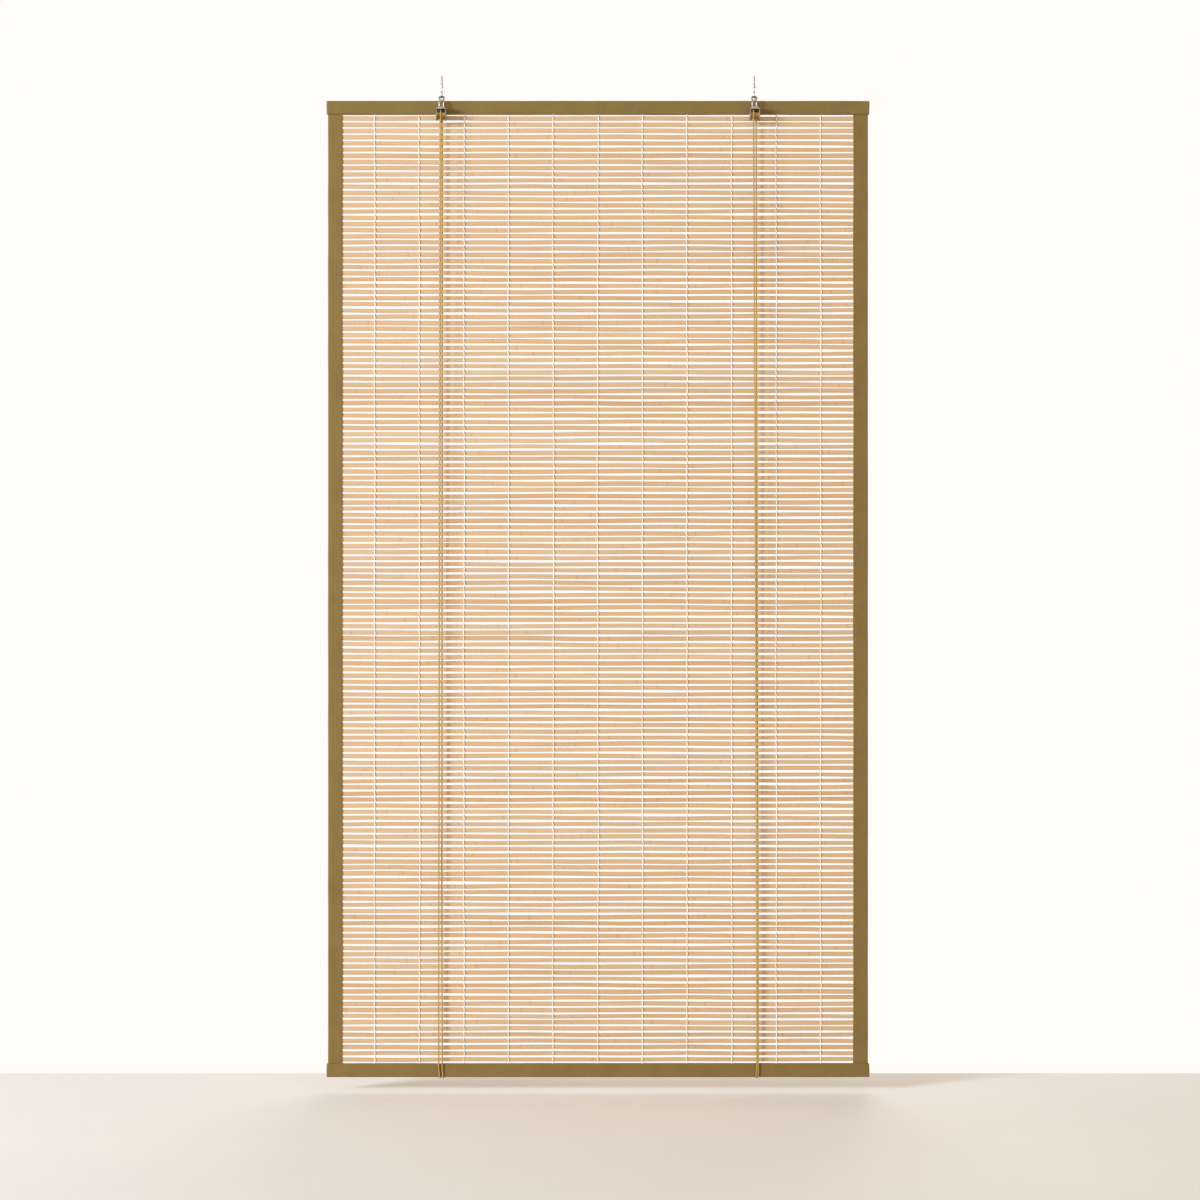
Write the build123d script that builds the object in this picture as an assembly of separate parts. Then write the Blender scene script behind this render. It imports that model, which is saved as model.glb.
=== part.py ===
import os
from math import cos, radians, sin

from build123d import *

os.makedirs("parts", exist_ok=True)

# Bamboo roll up blind. Millimetres.
# X runs to the right, Y to the back and Z up.
# The origin lies on the ceiling, midway between the two screw hooks.

# Overall sizes
blind_width = 1000.0
blind_height = 1800.0
hook_spacing = 576.0

# Rails: cloth over a wooden batten
rail_height = 25.0
rail_depth = 11.0
rail_edge_radius = 3.0
rail_end_radius = 0.6
cover_wall = 0.8
batten_fit = 0.05

# Mat of slats
mat_thickness = 1.8
mat_insert = 10.0
slat_pitch = 11.42
slat_gap = 3.6
slot_cover = 4.0
slot_link_width = 4.0

# Warp threads
thread_count = 11
thread_edge_margin = 59.5
thread_diameter = 1.4
thread_gap = 0.05

# Side bindings
binding_width = 27.0
binding_wall = 0.8
binding_fit = 0.05
binding_end_gap = 0.1
binding_fold_radius = 1.4
binding_inset = 2.0

# Groove in each batten, and the brads across it
groove_side_gap = 0.15
groove_end_gap = 0.95
slit_end_gap = 0.2
brad_diameter = 1.4
brad_fit = 0.02

# Screw hooks
screw_diameter = 3.5
screw_length = 18.0
screw_point = 4.0
collar_diameter = 9.0
collar_thickness = 1.2
collar_edge_radius = 0.5
hook_wire = 2.6
hook_bend_radius = 6.0
hook_drop = 14.3
hook_entry_angle = 20.0
hook_wrap_angle = 290.0

# How the rail eyes and the pulley bails sit side by side in the hooks
hang_gap = 0.15
hang_angle = 25.0

# Screw eyes of the top rail
eye_wire = 2.2
eye_ring_radius = 3.4
eye_neck = 0.65
eye_shank_length = 11.0
eye_fit = 0.02
eye_cover_gap = 0.1

# Pulley bails
bail_wire = 2.2
bail_half_width = 3.85
bail_arch_half_width = 5.6
bail_top_radius = 4.6
bail_knee_radius = 5.0
bail_slope_height = 12.07
bail_neck_length = 11.0
bail_offset = 3.7
bail_fit = 0.02
bail_leg_depth = 3.2

# Pulley housings: a solid saddle with two cheeks
plate = 1.2
saddle_width = 11.6
saddle_height = 4.3
shoulder_height = 5.0
housing_corner_radius = 0.9
cheek_height = 20.5
cheek_depth = 14.4
cheek_corner_radius = 5.0

# Rollers and axles
roller_width = 15.4
roller_side_gap = 0.3
roller_rail_gap = 1.0
flange_radius = 10.0
flange_width = 1.3
flange_slope = 1.5
flange_edge_radius = 0.4
barrel_radius = 7.6
axle_drop = 15.0
axle_diameter = 3.0
axle_fit = 0.02
axle_running_gap = 0.05
rivet_diameter = 5.4
rivet_thickness = 1.0
rivet_edge_radius = 0.6

# Lift cords, with their staples and knots
cord_diameter = 2.2
cord_gap = 0.3
roller_strand_spacing = 3.4
cord_edge_bend = 12.0
staple_wire = 1.6
staple_width = 16.0
staple_drop = 10.0
staple_stand_off = 3.7
staple_depth = 4.6
staple_bend_radius = 1.6
staple_fit = 0.02
knot_diameter = 4.4
knot_height = 6.5
knot_above = 3.0
knot_edge_radius = 0.8

# One overrun serves all cuts
overrun = 1.0

# Heights and half sizes that follow from the named sizes
hook_radius = hook_wire / 2
eye_radius = eye_wire / 2
bail_radius = bail_wire / 2
cord_radius = cord_diameter / 2
thread_radius = thread_diameter / 2
thread_turn = thread_radius + 2 * thread_gap
axle_radius = axle_diameter / 2
staple_radius = staple_wire / 2
station = hook_spacing / 2

eye_seat = hook_bend_radius - hook_radius - hang_gap - eye_radius
eye_y = eye_seat * sin(radians(hang_angle))
eye_top = -hook_drop - eye_seat * cos(radians(hang_angle))
ring_z = eye_top - eye_ring_radius
ring_bottom = ring_z - eye_ring_radius - eye_radius

bail_seat = hook_bend_radius - hook_radius - hang_gap - bail_radius
bail_y = -bail_seat * sin(radians(hang_angle))
bail_top = -hook_drop - bail_seat * cos(radians(hang_angle))
bail_knee = bail_top - bail_slope_height
saddle_top = bail_knee - bail_neck_length
saddle_under = saddle_top - saddle_height
bail_foot = saddle_top - bail_leg_depth

rail_half = rail_depth / 2
top_rail_top = ring_bottom - eye_neck
top_rail_bottom = top_rail_top - rail_height
bottom_rail_bottom = top_rail_top - blind_height
bottom_rail_top = bottom_rail_bottom + rail_height

mat_top = top_rail_bottom + mat_insert
mat_bottom = bottom_rail_top - mat_insert
mat_height = mat_top - mat_bottom
mat_half = mat_thickness / 2
cloth_half_width = blind_width / 2 - binding_inset
mat_half_width = cloth_half_width - binding_wall - binding_end_gap
binding_edge = cloth_half_width - binding_width

thread_stack = mat_thickness + 2 * (thread_gap + thread_diameter)
binding_stack = mat_thickness + 2 * (binding_fit + binding_wall)
groove_width = max(thread_stack, binding_stack) + 2 * groove_side_gap
groove_reach = mat_insert + thread_gap + thread_diameter + groove_end_gap
batten_depth = rail_depth - 2 * (cover_wall + batten_fit)
batten_height = rail_height - 2 * (cover_wall + batten_fit)
batten_length = blind_width - 2 * (cover_wall + batten_fit)

roller_y = -(rail_half + roller_rail_gap + flange_radius)
roller_z = saddle_top - axle_drop
cheek_inner = roller_width / 2 + roller_side_gap
cheek_outer = cheek_inner + plate
bail_leg_y = roller_y + bail_offset

cord_turn = barrel_radius + cord_gap + cord_radius
cord_stand_off = cord_gap + cord_radius
roller_strand_half = roller_strand_spacing / 2
staple_y = rail_half + staple_stand_off
staple_z = top_rail_top - staple_drop
knot_top = staple_z + knot_above
knot_bottom = knot_top - knot_height

thread_reach = binding_edge - thread_edge_margin
thread_pitch = 2 * thread_reach / (thread_count - 1)
thread_places = [thread_pitch * i - thread_reach for i in range(thread_count)]
brad_places = [(a + b) / 2 for a, b in zip(thread_places, thread_places[1:])]
brad_heights = {"top": mat_top - mat_insert / 2, "bottom": mat_bottom + mat_insert / 2}


def save(shape, name):
    export_step(shape, "parts/" + name + ".step")


def rod(radius, start, end):
    axis = Vector(*end) - Vector(*start)
    plane = Plane(origin=start, z_dir=axis)
    return extrude(plane * Circle(radius), amount=axis.length)


def wire_rod(radius, path):
    section = Plane(origin=path @ 0, z_dir=path % 0) * Circle(radius)
    return sweep(section, path=path)


def box_between(low, high):
    size = Vector(*high) - Vector(*low)
    middle = Vector(*low) + size * 0.5
    return Pos(*middle) * Box(size.X, size.Y, size.Z)


def rail_block(height, depth, length, edge_radius, z_middle):
    section = Plane.YZ * RectangleRounded(depth, height, edge_radius)
    return Pos(0, 0, z_middle) * extrude(section, amount=length / 2, both=True)


# Mat: slats of one wall, with the gaps between them joined in pairs at the right
def polygon(points):
    corners = [Vector(x, -mat_half, z) for x, z in points]
    return Wire.make_polygon(corners, close=True)


def circle_wire(x, z, radius):
    plane = Plane(origin=(x, -mat_half, z), z_dir=(0, 1, 0))
    return Wire.make_circle(radius, plane)


def make_mat():
    slat_count = max(2, round(mat_height / slat_pitch))
    pitch = mat_height / slat_count
    heights = [mat_top - pitch * i for i in range(1, slat_count)]
    half_gap = slat_gap / 2
    left = -binding_edge - slot_cover
    near = binding_edge + slot_cover
    far = near + slot_link_width
    outline = polygon([
        (-mat_half_width, mat_top),
        (mat_half_width, mat_top),
        (mat_half_width, mat_bottom),
        (-mat_half_width, mat_bottom),
    ])
    openings = []
    for upper, lower in zip(heights[0::2], heights[1::2]):
        openings.append(polygon([
            (left, upper + half_gap),
            (far, upper + half_gap),
            (far, lower - half_gap),
            (left, lower - half_gap),
            (left, lower + half_gap),
            (near, lower + half_gap),
            (near, upper - half_gap),
            (left, upper - half_gap),
        ]))
    if len(heights) % 2:
        last = heights[-1]
        openings.append(polygon([
            (left, last + half_gap),
            (far, last + half_gap),
            (far, last - half_gap),
            (left, last - half_gap),
        ]))
    hole_radius = brad_diameter / 2 + brad_fit
    for x in brad_places:
        for z in brad_heights.values():
            openings.append(circle_wire(x, z, hole_radius))
    return extrude(Face(outline, openings), amount=mat_thickness, dir=(0, 1, 0))


# Warp threads: a closed loop down the front and up the back of the mat
def make_thread(x):
    y = mat_half + thread_gap + thread_radius
    reach = thread_gap + thread_radius
    path = FilletPolyline(
        (x, -y, mat_top + reach),
        (x, -y, mat_bottom - reach),
        (x, y, mat_bottom - reach),
        (x, y, mat_top + reach),
        radius=thread_turn,
        close=True,
    )
    return wire_rod(thread_radius, path)


# Side bindings: cloth tape folded over the ends of the slats
def make_binding(side):
    outer_half = mat_half + binding_fit + binding_wall
    inner_half = mat_half + binding_fit
    fold = side * cloth_half_width
    edge = side * binding_edge
    pocket = side * (cloth_half_width - binding_wall)
    beyond = side * (binding_edge - overrun)
    tape = box_between(
        (min(fold, edge), -outer_half, mat_bottom),
        (max(fold, edge), outer_half, mat_top),
    )
    uprights = tape.edges().filter_by(Axis.Z).sort_by(Axis.X)
    folded = uprights[-2:] if side > 0 else uprights[:2]
    tape = fillet(folded, radius=binding_fold_radius)
    inside = box_between(
        (min(pocket, beyond), -inner_half, mat_bottom - overrun),
        (max(pocket, beyond), inner_half, mat_top + overrun),
    )
    return tape - inside


# Rails: the mat side is below on the top rail and above on the bottom rail
def make_cover(z_middle, mat_side):
    outside = rail_block(rail_height, rail_depth, blind_width, rail_edge_radius, z_middle)
    ends = outside.faces().filter_by(Axis.X).edges()
    outside = fillet(ends, radius=rail_end_radius)
    inside = rail_block(
        rail_height - 2 * cover_wall,
        rail_depth - 2 * cover_wall,
        blind_width - 2 * cover_wall,
        rail_edge_radius - cover_wall,
        z_middle,
    )
    slit_half = cloth_half_width + slit_end_gap
    slit_mouth = z_middle + mat_side * (rail_height / 2 + overrun)
    slit = box_between(
        (-slit_half, -groove_width / 2, min(z_middle, slit_mouth)),
        (slit_half, groove_width / 2, max(z_middle, slit_mouth)),
    )
    return outside - inside - slit


def make_batten(z_middle, mat_side, brad_z):
    edge_radius = rail_edge_radius - cover_wall - batten_fit
    batten = rail_block(batten_height, batten_depth, batten_length, edge_radius, z_middle)
    rail_edge = z_middle + mat_side * rail_height / 2
    groove_floor = rail_edge - mat_side * groove_reach
    groove_mouth = rail_edge + mat_side * overrun
    groove_half = batten_length / 2 + overrun
    batten -= box_between(
        (-groove_half, -groove_width / 2, min(groove_floor, groove_mouth)),
        (groove_half, groove_width / 2, max(groove_floor, groove_mouth)),
    )
    hole_radius = brad_diameter / 2 + brad_fit
    hole_reach = rail_half + overrun
    holes = [rod(hole_radius, (x, -hole_reach, brad_z), (x, hole_reach, brad_z)) for x in brad_places]
    return batten - holes


def make_brads(brad_z):
    reach = batten_depth / 2
    brads = [rod(brad_diameter / 2, (x, -reach, brad_z), (x, reach, brad_z)) for x in brad_places]
    return Compound(children=brads)


# Screw hook: screw into the ceiling, collar, and a round open hook in the YZ plane
def make_screw_hook():
    entry = radians(hook_entry_angle)
    turn = 90.0 - hook_entry_angle
    small = hook_bend_radius * sin(entry) / (1 - sin(entry))
    stem = hook_drop - hook_bend_radius * cos(entry) - small * sin(radians(turn))
    straight = Line((0, 0), (0, -stem))
    swerve = JernArc(straight @ 1, straight % 1, small, turn)
    round_bend = JernArc(swerve @ 1, swerve % 1, hook_bend_radius, -hook_wrap_angle)
    path = Plane.YZ * Wire([straight, swerve, round_bend])
    hook = wire_rod(hook_radius, path)
    hook += Pos(*(path @ 1)) * Sphere(hook_radius)
    collar = rod(collar_diameter / 2, (0, 0, -collar_thickness), (0, 0, 0))
    collar = fillet(collar.edges().group_by(Axis.Z)[0], radius=collar_edge_radius)
    screw = rod(screw_diameter / 2, (0, 0, 0), (0, 0, screw_length))
    tip = Cone(screw_diameter / 2, 0, screw_point, align=(Align.CENTER, Align.CENTER, Align.MIN))
    return hook + collar + screw + Pos(0, 0, screw_length) * tip


# Screw eye of the top rail: its ring stands across the hook
def make_rail_eye():
    ring = Pos(0, eye_y, ring_z) * Rot(90, 0, 0) * Torus(eye_ring_radius, eye_radius)
    shank_top = ring_z - eye_ring_radius
    shank_end = top_rail_top - eye_shank_length
    return ring + rod(eye_radius, (0, eye_y, shank_end), (0, eye_y, shank_top))


def eye_hole(x, radius):
    end = top_rail_top - eye_shank_length - eye_fit
    return rod(radius, (x, eye_y, end), (x, eye_y, top_rail_top + overrun))


# Pulley: wire bail, housing, roller and axle
def make_bail():
    path = FilletPolyline(
        (-bail_half_width, bail_leg_y, bail_foot),
        (-bail_half_width, bail_leg_y, bail_knee),
        (-bail_arch_half_width, bail_y, bail_top),
        (bail_arch_half_width, bail_y, bail_top),
        (bail_half_width, bail_leg_y, bail_knee),
        (bail_half_width, bail_leg_y, bail_foot),
        radius=[bail_knee_radius, bail_top_radius, bail_top_radius, bail_knee_radius],
    )
    return wire_rod(bail_radius, path)


def make_housing():
    cheek_top = saddle_top - shoulder_height
    cheek_end = cheek_top - cheek_height
    half_saddle = saddle_width / 2
    outline = make_face(Polyline(
        (-cheek_outer, cheek_end),
        (-cheek_outer, cheek_top),
        (-half_saddle, saddle_top),
        (half_saddle, saddle_top),
        (cheek_outer, cheek_top),
        (cheek_outer, cheek_end),
        (cheek_inner, cheek_end),
        (cheek_inner, saddle_under),
        (-cheek_inner, saddle_under),
        (-cheek_inner, cheek_end),
        close=True,
    ))
    upper = [v for v in outline.vertices() if v.Y > cheek_end + overrun]
    outline = fillet(upper, radius=housing_corner_radius)
    front = Plane(origin=(0, roller_y, 0), x_dir=(1, 0, 0), z_dir=(0, -1, 0))
    housing = extrude(front * outline, amount=cheek_depth / 2, both=True)
    corners = housing.edges().filter_by(Axis.X).group_by(Axis.Z)[0]
    housing = fillet(corners, radius=cheek_corner_radius)
    hole_end = cheek_outer + overrun
    housing -= rod(axle_radius + axle_fit, (-hole_end, roller_y, roller_z), (hole_end, roller_y, roller_z))
    for x in (-bail_half_width, bail_half_width):
        housing -= rod(
            bail_radius + bail_fit,
            (x, bail_leg_y, bail_foot - bail_fit),
            (x, bail_leg_y, saddle_top + overrun),
        )
    return housing


def make_roller():
    half = roller_width / 2
    bore = axle_radius + axle_running_gap
    slope_top = half - flange_width
    slope_foot = slope_top - flange_slope
    profile = make_face(Polyline(
        (-half, bore),
        (-half, flange_radius),
        (-slope_top, flange_radius),
        (-slope_foot, barrel_radius),
        (slope_foot, barrel_radius),
        (slope_top, flange_radius),
        (half, flange_radius),
        (half, bore),
        close=True,
    ))
    rims = profile.vertices().group_by(Axis.Y)[-1]
    profile = fillet(rims, radius=flange_edge_radius)
    return Pos(0, roller_y, roller_z) * revolve(Plane.XZ * profile, axis=Axis.X)


def make_axle():
    end = cheek_outer + rivet_thickness
    axle = rod(axle_radius, (-end, roller_y, roller_z), (end, roller_y, roller_z))
    for side in (-1, 1):
        head = rod(
            rivet_diameter / 2,
            (side * cheek_outer, roller_y, roller_z),
            (side * end, roller_y, roller_z),
        )
        rim = head.edges().sort_by(Axis.X)[-1 if side > 0 else 0]
        axle += fillet(rim, radius=rivet_edge_radius)
    return axle


# Staple on the back of the top rail, with the knotted ends of the cord on it
def make_staple():
    half = staple_width / 2
    end = staple_y - staple_stand_off - cover_wall - batten_fit - staple_depth
    path = FilletPolyline(
        (-half, end, staple_z),
        (-half, staple_y, staple_z),
        (half, staple_y, staple_z),
        (half, end, staple_z),
        radius=staple_bend_radius,
    )
    return wire_rod(staple_radius, path)


def staple_holes(x, radius):
    half = staple_width / 2
    end = staple_y - staple_stand_off - cover_wall - batten_fit - staple_depth - staple_fit
    mouth = rail_half + overrun
    return [rod(radius, (x + s * half, end, staple_z), (x + s * half, mouth, staple_z)) for s in (-1, 1)]


def make_knots(places):
    knots = []
    for x in places["knot"]:
        knot = rod(knot_diameter / 2, (x, staple_y, knot_bottom), (x, staple_y, knot_top))
        knot = fillet(knot.edges().filter_by(GeomType.CIRCLE), radius=knot_edge_radius)
        reach = knot_diameter
        knot -= rod(
            staple_radius + staple_fit,
            (x - reach, staple_y, staple_z),
            (x + reach, staple_y, staple_z),
        )
        knots.append(knot)
    return knots


# Lift cord: from a knot down the back, under the bottom rail, up the front, over the roller,
# and the same way back to the other knot
def make_cord(x, places):
    side = rail_half + cord_stand_off
    under = bottom_rail_bottom - cord_stand_off
    over = roller_z + cord_turn
    rail_turn = rail_edge_radius + cord_stand_off
    legs = [
        [
            (x + places["knot"][k], staple_y, knot_bottom),
            (x + places["back"][k], side, bottom_rail_top),
            (x + places["under"][k], side, under),
            (x + places["under"][k], -side, under),
            (x + places["front"][k], -side, bottom_rail_top),
        ]
        for k in (0, 1)
    ]
    path = FilletPolyline(
        *legs[0],
        (x - roller_strand_half, roller_y - cord_turn, over),
        (x + roller_strand_half, roller_y + cord_turn, over),
        *reversed(legs[1]),
        radius=[
            cord_edge_bend, rail_turn, rail_turn, cord_edge_bend, cord_turn,
            cord_turn, cord_edge_bend, rail_turn, rail_turn, cord_edge_bend,
        ],
    )
    print("cord length", round(path.length, 1), "turns", round(rail_turn, 2), round(cord_turn, 2))
    return wire_rod(cord_radius, path)


# Where the two strands of each cord run sideways of the roller's middle, chosen by hand
cord_places = {
    "left": {"knot": (-4.0, 0.6), "back": (-7.3, -0.7), "under": (-3.9, 1.9), "front": (-6.4, 0.2)},
    "right": {"knot": (-0.3, 4.3), "back": (5.0, 10.0), "under": (2.1, 7.3), "front": (4.1, 9.1)},
}

top_middle = (top_rail_top + top_rail_bottom) / 2
bottom_middle = (bottom_rail_top + bottom_rail_bottom) / 2
sides = {"left": -station, "right": station}

# Mat, threads and bindings
save(make_mat(), "slat_mat")
for i, place in enumerate(thread_places):
    save(make_thread(place), "warp_thread_%02d" % (i + 1))
save(make_binding(-1), "side_binding_left")
save(make_binding(1), "side_binding_right")

# Rails
top_cover = make_cover(top_middle, -1)
top_batten = make_batten(top_middle, -1, brad_heights["top"])
for x in sides.values():
    top_cover -= eye_hole(x, eye_radius + eye_cover_gap)
    top_cover -= staple_holes(x, staple_radius + eye_cover_gap)
    top_batten -= eye_hole(x, eye_radius + eye_fit)
    top_batten -= staple_holes(x, staple_radius + staple_fit)
save(top_cover, "top_rail_cover")
save(top_batten, "top_batten")
save(make_cover(bottom_middle, 1), "bottom_rail_cover")
save(make_batten(bottom_middle, 1, brad_heights["bottom"]), "bottom_batten")
save(make_brads(brad_heights["top"]), "rail_brads_top")
save(make_brads(brad_heights["bottom"]), "rail_brads_bottom")

# Hardware at each hook
for name, x in sides.items():
    at = Pos(x, 0, 0)
    save(at * make_screw_hook(), "screw_hook_" + name)
    save(at * make_rail_eye(), "rail_eye_" + name)
    save(at * make_bail(), "pulley_bail_" + name)
    save(at * make_housing(), "pulley_housing_" + name)
    save(at * make_roller(), "pulley_roller_" + name)
    save(at * make_axle(), "pulley_axle_" + name)
    save(at * make_staple(), "cord_staple_" + name)
    places = cord_places[name]
    save(Compound(children=[at * knot for knot in make_knots(places)]), "cord_knots_" + name)
    save(make_cord(x, places), "lift_cord_" + name)
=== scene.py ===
"""Bamboo roll up blind: slats, threads, bindings, rails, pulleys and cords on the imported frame."""

import math

import bmesh
import bpy
from bpy.props import FloatProperty, FloatVectorProperty, IntProperty, PointerProperty
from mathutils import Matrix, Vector, noise


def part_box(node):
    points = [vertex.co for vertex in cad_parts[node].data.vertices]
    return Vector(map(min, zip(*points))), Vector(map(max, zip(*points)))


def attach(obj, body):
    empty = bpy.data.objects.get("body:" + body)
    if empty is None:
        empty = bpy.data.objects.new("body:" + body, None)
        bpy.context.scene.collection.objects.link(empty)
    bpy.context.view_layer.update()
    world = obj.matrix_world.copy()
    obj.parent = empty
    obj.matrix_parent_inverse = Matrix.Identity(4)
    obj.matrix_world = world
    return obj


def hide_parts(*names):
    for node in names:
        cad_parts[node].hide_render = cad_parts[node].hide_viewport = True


bl_info = {
    "name": "Bamboo Roll Up Blind",
    "version": (1, 0, 0),
    "blender": (4, 5, 0),
    "location": "View3D > Sidebar > Blind",
    "description": "Dresses a hanging bamboo blind with slats, threads, cloth, pulleys and cords",
    "category": "Add Mesh",
}

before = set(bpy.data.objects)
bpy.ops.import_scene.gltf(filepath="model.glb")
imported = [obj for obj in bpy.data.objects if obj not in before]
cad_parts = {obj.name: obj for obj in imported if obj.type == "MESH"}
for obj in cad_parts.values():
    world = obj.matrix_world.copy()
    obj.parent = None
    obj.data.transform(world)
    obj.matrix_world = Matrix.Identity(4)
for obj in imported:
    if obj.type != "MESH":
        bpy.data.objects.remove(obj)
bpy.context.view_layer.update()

mat_low, mat_high = (Vector(corner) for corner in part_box("slat_mat"))
top_low, top_high = (Vector(corner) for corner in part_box("top_rail_cover"))
foot_low, foot_high = (Vector(corner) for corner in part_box("bottom_rail_cover"))
tape_low, tape_high = (Vector(corner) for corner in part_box("side_binding_right"))
SIDES = {"left": -1, "right": 1}
BODY = "blind"
WHITE = (1, 1, 1)


def linear(red, green, blue):
    """A display colour from 0 to 255 as the linear values that sockets take."""
    values = []
    for part in (red / 255, green / 255, blue / 255):
        values.append(part / 12.92 if part <= 0.04045 else ((part + 0.055) / 1.055) ** 2.4)
    return tuple(values)


# Settings that a user would change
def length(name, text, default):
    return FloatProperty(name=name, description=text, default=default, unit="LENGTH", precision=5)


def colour(name, text, default):
    return FloatVectorProperty(
        name=name, description=text, default=default, size=3, min=0, max=1, subtype="COLOR"
    )


class BlindSizes(bpy.types.PropertyGroup):
    slat_count: IntProperty(name="Slats", description="Slats from rail to rail", default=155, min=2)
    slat_gap: length("Slat gap", "Open gap between two slats", 0.0036)
    slat_spread: FloatProperty(
        name="Slat spread", description="How far slats differ in width",
        default=0.07, min=0, max=0.3,
    )
    slat_wander: length("Slat wander", "How far a slat strays from a straight line", 0.0009)
    yarn_depth: length("Yarn", "Depth of each of the two yarns of a warp thread", 0.0020)
    thread_sway: length("Thread sway", "How far a warp thread strays sideways", 0.0022)
    tape_wall: length("Tape", "Thickness of the cloth", 0.0008)
    stitch_pitch: length("Stitch pitch", "Distance between two stitches", 0.0046)
    cord_diameter: length("Cord", "Diameter of the lift cords", 0.0022)


class BlindColours(bpy.types.PropertyGroup):
    bamboo_pale: colour("Pale bamboo", "The lightest slats", linear(215, 181, 140))
    bamboo_deep: colour("Deep bamboo", "The darkest slats", linear(205, 164, 119))
    cloth: colour("Cloth", "Rail covers and side bindings", linear(135, 108, 52))
    cotton: colour("Cotton", "Warp threads", linear(252, 246, 236))
    cord: colour("Cord", "Lift cords", linear(190, 156, 86))
    nickel: colour("Nickel", "Hooks, eyes, pulley bails and pulley housings", linear(176, 170, 160))
    brass: colour("Brass", "Pulley rollers", linear(164, 130, 80))
    floor: colour("Floor", "The floor under the blind", linear(232, 226, 218))


# Nodes
def put(node, inputs):
    """Sets or links a node's inputs, by name or place."""
    for key, value in inputs.items():
        if isinstance(key, str):
            socket = next(s for s in node.inputs if s.name == key and s.enabled)
        else:
            socket = node.inputs[key]
        if isinstance(value, bpy.types.NodeSocket):
            node.id_data.links.new(value, socket)
        else:
            socket.default_value = value


def add(tree, kind, inputs=None, out=0, **settings):
    """Adds a node, wires it and gives back one of its outputs, or the node if out is None."""
    node = tree.nodes.new(kind)
    for key, value in settings.items():
        setattr(node, key, value)
    put(node, inputs or {})
    return node if out is None else node.outputs[out]


def math_node(tree, operation, a, b=0.0):
    return add(tree, "ShaderNodeMath", {0: a, 1: b}, operation=operation)


def times(tree, a, b):
    return math_node(tree, "MULTIPLY", a, b)


def plus(tree, a, b):
    return math_node(tree, "ADD", a, b)


def minus(tree, a, b):
    return math_node(tree, "SUBTRACT", a, b)


def vector(tree, **parts):
    return add(tree, "ShaderNodeCombineXYZ", parts)


def position(tree, axis):
    """One part of each point's position: 0, 1 or 2 for X, Y or Z."""
    return add(tree, "ShaderNodeSeparateXYZ", {0: add(tree, "GeometryNodeInputPosition")}, out=axis)


def drawn(tree, low, high, seed):
    """A random value for each point."""
    return add(
        tree, "FunctionNodeRandomValue", {2: low, 3: high, 8: seed}, out=1, data_type="FLOAT"
    )


def noise_at(tree, place, detail, roughness=0.5, scale=1.0, **settings):
    inputs = {"Vector": place, "Scale": scale, "Detail": detail, "Roughness": roughness}
    return add(tree, "ShaderNodeTexNoise", inputs, **settings)


def centred(tree, value, width):
    """A value from 0 to 1 as a shift of up to half the width to either side."""
    return times(tree, minus(tree, value, 0.5), width)


def shape_tree(name, sizes):
    """A new geometry tree with a named input for each size, those inputs, and its end socket."""
    tree = bpy.data.node_groups.new(name, "GeometryNodeTree")
    tree.interface.new_socket("Geometry", in_out="OUTPUT", socket_type="NodeSocketGeometry")
    kinds = {
        float: "NodeSocketFloat", int: "NodeSocketInt", Vector: "NodeSocketVector",
        bpy.types.Material: "NodeSocketMaterial",
    }
    for key, value in sizes.items():
        kind = next(k for cls, k in kinds.items() if isinstance(value, cls))
        tree.interface.new_socket(key, in_out="INPUT", socket_type=kind)
    start = tree.nodes.new("NodeGroupInput")
    end = tree.nodes.new("NodeGroupOutput")
    return tree, start.outputs, end.inputs[0]


# Objects
def evaluated_mesh(thing, **options):
    """What an object's modifiers or bevel make of it, as a plain mesh."""
    graph = bpy.context.evaluated_depsgraph_get()
    return bpy.data.meshes.new_from_object(thing.evaluated_get(graph), depsgraph=graph, **options)


def plain(name, data, material=None):
    thing = bpy.data.objects.new(name, data)
    bpy.context.scene.collection.objects.link(thing)
    if material:
        data.materials.append(material)
    return thing


def grow(name, tree, sizes):
    """Runs a geometry tree and keeps its result as a plain mesh."""
    thing = plain(name, bpy.data.meshes.new(name + "_seed"))
    modifier = thing.modifiers.new("Shape", "NODES")
    modifier.node_group = tree
    for item in tree.interface.items_tree:
        if item.in_out == "INPUT":
            value = sizes[item.name]
            modifier[item.identifier] = tuple(value) if isinstance(value, Vector) else value
    made = evaluated_mesh(thing, preserve_all_data_layers=True)
    seed = thing.data
    thing.modifiers.clear()
    thing.data = made
    made.name = name
    bpy.data.meshes.remove(seed)
    if not made.polygons:
        raise RuntimeError(name + " came out empty")
    return thing


def seat(thing, body, slot, *nodes):
    """A finished piece rides on its body and stands for its solids; its slot is not used."""
    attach(thing, body)
    if nodes:
        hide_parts(*nodes)


def smooth(mesh, degrees):
    mesh.shade_smooth()
    mesh.set_sharp_from_angle(angle=math.radians(degrees))


def tube_curve(name, radius, roundness):
    """An empty curve that makes a closed round tube of its splines."""
    curve = bpy.data.curves.new(name, "CURVE")
    curve.dimensions = "3D"
    curve.bevel_depth = radius
    curve.bevel_resolution = roundness
    curve.use_fill_caps = True
    return curve


def add_spline(curve, route):
    """A smooth line that starts and ends on the route and is drawn to its other points."""
    spline = curve.splines.new("NURBS")
    spline.points.add(len(route) - 1)
    for point, spot in zip(spline.points, route):
        point.co = (*spot, 1)
    spline.order_u = 3
    spline.use_endpoint_u = True


def tube_mesh(curve, degrees):
    """A curve's tube as a plain mesh, smooth up to an angle."""
    seed = plain(curve.name, curve)
    mesh = evaluated_mesh(seed)
    bpy.data.objects.remove(seed)
    mesh.materials.clear()
    smooth(mesh, degrees)
    return mesh


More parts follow.
